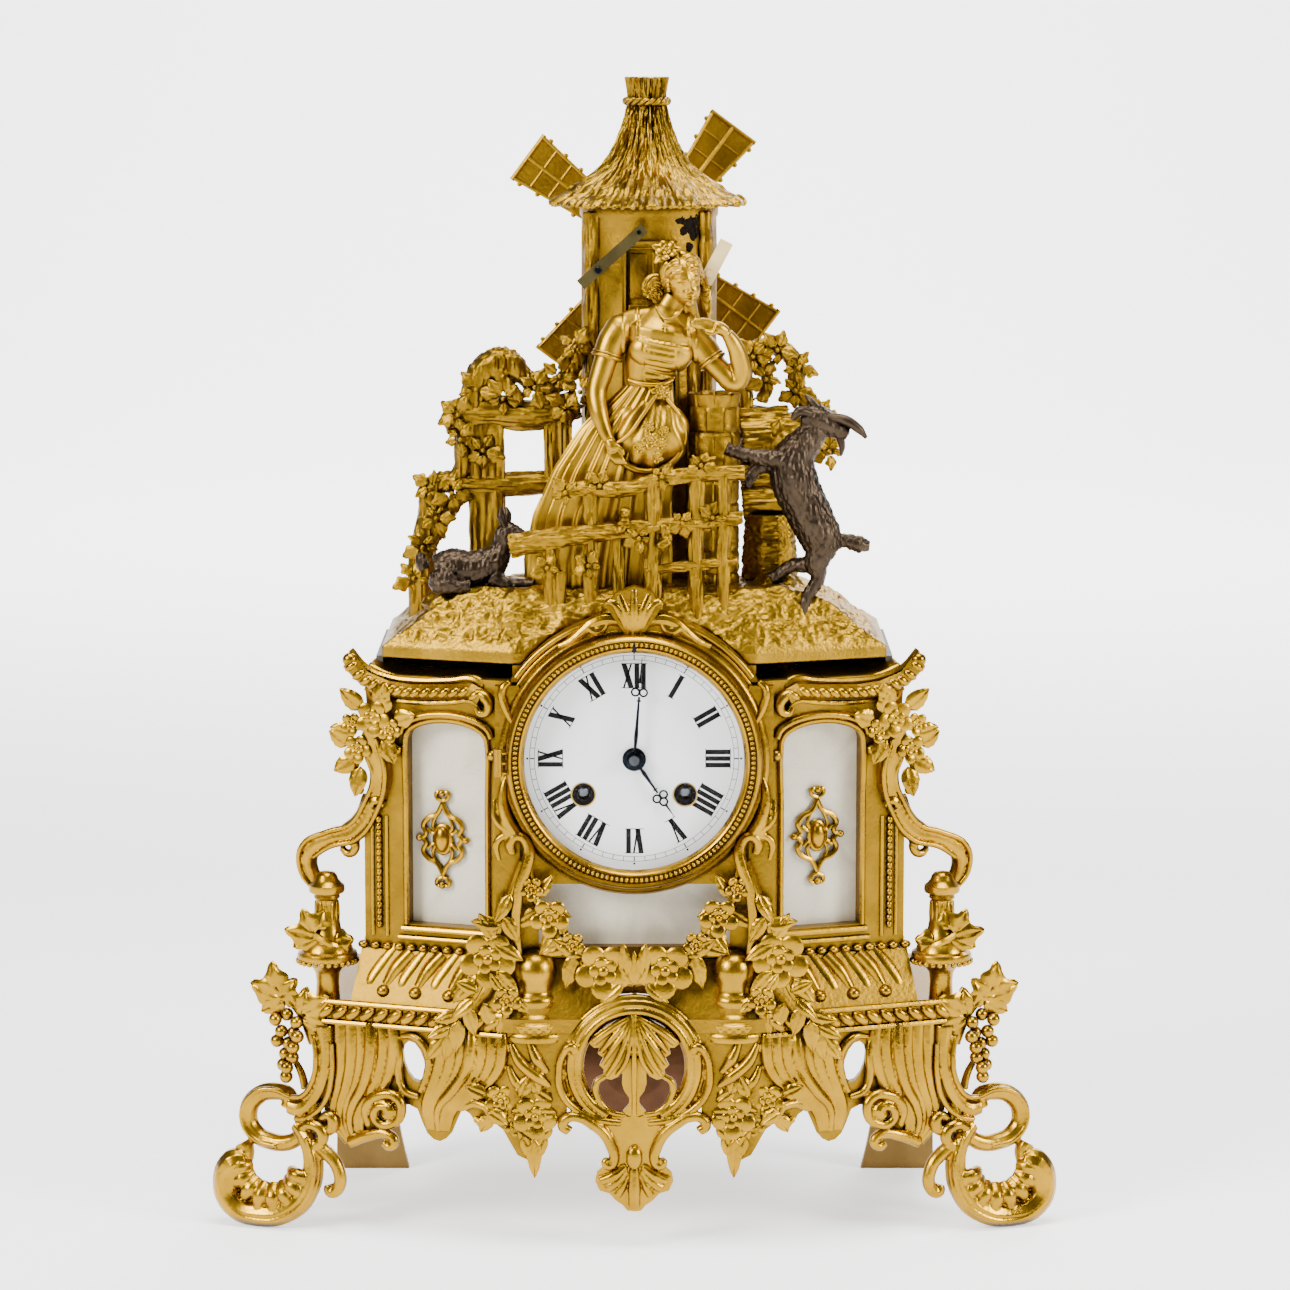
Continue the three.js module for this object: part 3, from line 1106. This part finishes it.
// Thatched roof: flared cone with a bound tuft
function millRoof() {
  const eave = TOWER_TOP + CLEARANCE;
  const profile = [
    [TOWER_RADIUS - TOWER_WALL, 0], [EAVE_RADIUS, 0], [EAVE_RADIUS, 3], [29, 9], [20, 18], [13.5, 28],
    [10, 38], [8, 45], [9, 47],
    [8, 49], [9.5, ROOF_HEIGHT], [0, ROOF_HEIGHT], [0, 16], [12, 13], [TOWER_RADIUS - TOWER_WALL, 0],
  ];
  return turnedZ(profile.map(([radius, z]) => [radius, eave + z]), MILL_X - 1, MILL_Y, 20);
}

piece('mill_roof', millRoof(), GILT_MATT);

// Sails behind the mill: an axle with a hub, and four lattice blades
function sailAxle() {
  return fused(
    rodY(SAIL_X, SAIL_Z, AXLE_RADIUS, TOWER_REAR - 12, SAIL_Y + SAIL_THICKNESS, 12),
    rodY(SAIL_X, SAIL_Z, HUB_RADIUS, SAIL_Y, SAIL_Y + SAIL_THICKNESS, 16),
    rodY(SAIL_X, SAIL_Z, HUB_RADIUS - 1, TOWER_REAR - 12, TOWER_REAR - 9, 12),
  );
}

function sail() {
  const half = SAIL_THICKNESS / 2;
  const root = HUB_RADIUS + CLEARANCE;
  const shape = new THREE.Shape([[-SAIL_ROOT_WIDTH / 2, SAIL_ROOT], [SAIL_ROOT_WIDTH / 2, SAIL_ROOT],
    [SAIL_TIP_WIDTH / 2, SAIL_LENGTH],
    [-SAIL_TIP_WIDTH / 2, SAIL_LENGTH]].map((p) => new THREE.Vector2(...p)));
  const spar = box(-2, 2, 0, SAIL_THICKNESS, root, SAIL_LENGTH);
  return fused(plate(shape, half - 0.8, half + 0.8), spar);
}

piece('sail_axle', sailAxle(), GILT_MATT);
for (let i = 0; i < 4; i += 1) {
  const mesh = piece('sail_' + (i + 1), sail(), GILT_MATT);
  mesh.rotation.y = Math.PI / 2 - SAIL_ANGLE - i * Math.PI / 2;
  mesh.position.set(SAIL_X, SAIL_Y, SAIL_Z);
}

// Flat bar riveted to the front of the tower
function rivetedBar(low, high, width, at) {
  const [[x0, z0], [x1, z1],
    [rivetX, rivetZ]] = [low, high, at].map(([x, z]) => [MILL_X + x, TOWER_TOP + z]);
  const front = MILL_Y - TOWER_RADIUS - 6;
  const half = new THREE.Vector2(x1 - x0, z1 - z0).normalize().multiplyScalar(width / 2);
  const start = [[x0 - half.y, z0 + half.x], [x0 + half.y, z0 - half.x]];
  const end = [[x1 + half.y, z1 - half.x], [x1 - half.y, z1 + half.x]];
  const rivet = rodY(rivetX, rivetZ, 1.8, front - 0.8, MILL_Y, 8);
  return cut(fused(plate([...start, ...end], front, front + 1.5), rivet), towerSeat);
}

const towerSeat = towerBody(CLEARANCE);
piece('tower_bar_left', rivetedBar([-30, -32.3], [-2, -7.3], 5, [-22.5, -25.8]), OLIVE_METAL);
piece('tower_bar_right', rivetedBar([24.5, -31.3], [34, -13.3], 6, [26.5, -27.3]), PALE_BRASS);

// Front fence: rough rails on short posts
function frontFence() {
  const y = FENCE_Y;
  const parts = [
    bar(above([[-37, y + 1, 41.7], [0, y, 43.7], [30, y, 47.7], [48, y + 1, 49.7]]), [3.6, 3.4, 3.4, 3.2]),
    bar(above([[-55, y + 1, 18.7], [-20, y, 23.7], [10, y, 26.7],
      [48, y + 1, 29.7]]), [5.4, 4.8, 4.2, 3.8]),
    bar(above([[6, y, 8.7], [44, y + 1, 12.7]]), [3, 3]),
    bar(above([[-38, y + 2, SUNK], [-38, y + 1, 16.7]]), [4.5, 4]),
  ];
  for (const [x, top] of [[-24, 54.7], [-7, 46.7], [10, 58.7], [26, 62.7], [40, 52.7]]) {
    parts.push(rodZ(x, y + 0.5, 3.6, ground, TERRACE_TOP + top, 6));
  }
  for (const [x, z] of [[-32, 44.7], [-14, 48.7], [14, 50.7], [27, 54.7], [4, 29.7]]) {
    parts.push(lump(x, y - 1, TERRACE_TOP + z, 5.5, 3.6, 4.5, 6));
  }
  return seated(fused(parts));
}

piece('fence_front', frontFence(), GILT_MATT);

// Rear fence: two posts, rails and a vine
function rearFence() {
  const y = MILL_Y - 16;
  const parts = [
    box(-73, -58, y - 4, y + 4, ground, TERRACE_TOP + 72.7),
    box(-40, -28, y - 4, y + 4, ground, TERRACE_TOP + 72.7),
    bar(above([[-84, y, 70.7], [-60, y, 73.7], [-40, y, 71.7], [-26, y, 76.7]]), [7, 7.5, 7, 6.5],
      { depth: 0.6 }),
    box(-78, -28, y - 3.5, y + 3.5, TERRACE_TOP + 35.7, TERRACE_TOP + 46.7),
    bar(above([[-93, y - 2, SUNK], [-92, y - 2, 22.7], [-90, y - 2, 39.7], [-78, y - 1, 44.7],
      [-74, y - 1, 62.7], [-70, y - 1, 80.7],
      [-64, y - 1, 91.7], [-56, y - 1, 91.7], [-44, y, 87.7],
      [-30, y, 90.7]]), [6, 5, 5, 4, 5, 6, 7, 6, 4.5, 5]),
    bar(above([[-92, y - 2, 16.7], [-84, y - 1, 28.7], [-76, y - 1, 32.7]]), [3.5, 3, 3.5]),
  ];
  for (const [x, z, radius] of [[-60, 96.7, 5], [-73, 81.7, 5], [-78, 72.7, 6], [-77, 54.7, 5],
    [-87, 38.7, 6], [-95, 10.7, 8],
    [-40, 78.7, 5], [-95, -1.3, 7]]) {
    parts.push(lump(x, y - 2, TERRACE_TOP + z, radius, 5, radius));
  }
  return cut(seated(fused(parts)), towerSeat);
}

piece('fence_rear', rearFence(), GILT_MATT);

// Tub of boards beside the figure; swell adds clearance for the elbow that rests on it
const tubSolid = (swell = 0) => rodZ(TUB_X, TUB_Y, TUB_RADIUS + swell, ground,
  TERRACE_TOP + TUB_HEIGHT + swell, 16);
piece('tub', seated(tubSolid()), GILT_MATT);

// Bank with stacked logs and a vine arch at the right
function bank() {
  const y = FIGURE_Y + 21;
  const parts = [
    box(48, 72, y - 10, y + 10, ground, TERRACE_TOP + 40.7),
    bar(above([[48, y - 2, 62.7], [60, y, 60.7], [74, y, 66.7]]), [13, 12, 7]),
    box(50, 70, y - 6, y + 6, TERRACE_TOP + 36.7, TERRACE_TOP + 60.7),
    bar(above([[49, y, 70.7], [47, y, 88.7], [53, y, 99.7], [62, y, 101.7], [70, y, 93.7], [71, y, 82.7],
      [77, y, 74.7], [82, y, 66.7], [83, y, 54.7]]),
      [5, 4.5, 5, 4.5, 4.5, 4, 5, 5, 4.5]),
  ];
  for (const [x, z, radius] of [[68, 92.7, 5], [52, 100.7, 5.5], [84, 56.7, 5], [60, 60.7, 7]]) {
    parts.push(lump(x, y - 2, TERRACE_TOP + z, radius, 5, radius));
  }
  return cut(seated(fused(parts)), towerSeat);
}

piece('bank_right', bank(), GILT_MATT);

// Figure: pleated skirt with a gathered apron, and the bust with arms and head
function dress(swell = 0) {
  const rows = [
    [SUNK, -13, 29, 11], [10.7, -14, 29, 11], [40.7, -12, 25, 11], [62.7, -5, 22, 10.5],
    [80.7, 2, 15, 9], [87.7, 7, 7, 6],
  ];
  const skirt = loft(rows.map(([z, x, rx, ry]) => ovalRing(x, FIGURE_Y + 1.5, TERRACE_TOP + z + swell,
    rx + swell, ry + swell, 16)));
  return fused(skirt, lump(5, FIGURE_Y - 4, TERRACE_TOP + 67.7, 18 + swell, 8 + swell, 16 + swell, 10));
}

function bust() {
  const y = FIGURE_Y;
  const torso = [[7, y, 84.7], [8, y, 96.7], [9, y - 1, 106.7], [10, y, 113.7], [14, y, 119.7],
    [18, y - 1, 125.7]];
  const parts = [
    bar(above(torso), [6.5, 9.5, 13.5, 12.5, 5.5, 5], { sides: 8, depth: 0.72 }),
    bar(above([[-3, y, 112.7], [10, y, 114.7], [24, y, 111.7]]), [5.5, 6, 5.5]),
    bar(above([[-6, y, 112.7], [-13, y - 2, 99.7], [-19, y - 5, 86.7], [-17, y - 8, 71.7],
      [-9, y - 9.5, 57.7]]), [6, 6, 5, 4, 3]),
    bar(above([[25, y, 111.7], [32, y - 3, 97.7], [44, y - 4, 90.7], [46, y - 6, 102.7],
      [40, y - 8, 113.7], [30, y - 10, 115.7]]),
      [6, 5.5, 5.5, 4.6, 3.6, 2.8]),
    lump(21.5, y - 2, TERRACE_TOP + 133.7, 10.5, 11, 13.5, 10),
    lump(7.5, y + 3, TERRACE_TOP + 129.7, 6.5, 6, 7),
    lump(14, y - 5, TERRACE_TOP + 146.7, 4.5, 4, 3.5),
    lump(15, y + 2, TERRACE_TOP + 136.7, 10, 9, 9),
  ];
  return cut(fused(parts), dress(CLEARANCE), tubSolid(CLEARANCE));
}

piece('figure_dress', seated(dress()), GILT);
piece('figure_bust', bust(), GILT);

// Goats in dark bronze: one on its hind legs, one lying down
function standingGoat() {
  const y = FIGURE_Y - 7;
  const parts = [
    bar(above([[84, y, 12.7], [80, y, 22.7], [72, y, 38.7], [68, y, 52.7], [74, y, 62.7],
      [80, y, 68.7]]), [8, 9.5, 9.5, 9, 7, 6], { sides: 8, depth: 0.8 }),
    bar(above([[70, y, 73.7], [80, y, 71.7], [90, y - 1, 64.7]]), [4, 7, 4.5]),
    bar(above([[83, y - 3, 15.7], [77, y - 3, 6.7], [79, y - 3, 2.7],
      [71, y - 3, -17.3]]), [6, 4.2, 3, 2.6]),
    bar(above([[80, y + 3, 16.7], [76, y + 4, 7.7], [68, y + 5, 7.7], [60, y + 6, 0.7]]), [5, 3.6, 3, 2.6]),
    bar(above([[66, y - 4, 55.7], [56, y - 4, 55.7], [48, y - 4, 56.7],
      [38, y - 4, 59.7]]), [5, 4, 3, 2.4]),
    bar(above([[64, y + 3, 51.7], [55, y + 3, 51.7], [48, y + 3, 45.7]]), [4.5, 3.2, 2.6]),
    bar(above([[88, y, 19.7], [95, y, 17.7], [102, y, 15.7]]), [3, 3.4, 2.6]),
    bar(above([[84, y + 1, 71.7], [92, y + 2, 69.7], [99, y + 3, 64.7]]), [3, 2.2, 1.4]),
    bar(above([[76, y, 72.7], [75, y, 79.7]]), [3, 1.8]),
    bar(above([[87, y - 1, 63.7], [88, y - 1, 57.7]]), [2.6, 1.2]),
  ];
  return cut(seated(fused(parts)), fenceSeat);
}

function lyingGoat() {
  const y = FIGURE_Y;
  const base = TERRACE_TOP - 2;
  const parts = [
    bar([[-88, y, base + 8], [-78, y, base + 9], [-66, y, base + 9], [-60, y, base + 12]],
      [6.5, 8.5, 8, 6]),
    bar([[-62, y, base + 12], [-59, y, base + 20], [-53, y - 1, base + 21]], [5.5, 5, 3.2]),
    bar([[-60, y + 2, base + 22], [-61.5, y + 2, base + 31]], [2.2, 1]),
    bar([[-64, y - 5, base + 4], [-54, y - 5, base + 2.5], [-47.5, y - 4, base + 2]], [4, 3, 2.6]),
    bar([[-76, y - 6, base + 5], [-84, y - 7, base + 2], [-74, y - 8, base + 1]], [5, 3.4, 2.6]),
  ];
  return seated(fused(parts));
}

const fenceSeat = fused(
  bar(above([[30, FENCE_Y, 47.7], [48, FENCE_Y + 1, 49.7]]), [3.8, 3.6]),
  lump(27, FENCE_Y - 1, TERRACE_TOP + 54.7, 6, 4, 5, 6),
);
piece('goat_standing', standingGoat(), DARK_BRONZE);
piece('goat_lying', lyingGoat(), DARK_BRONZE);

export default clock;
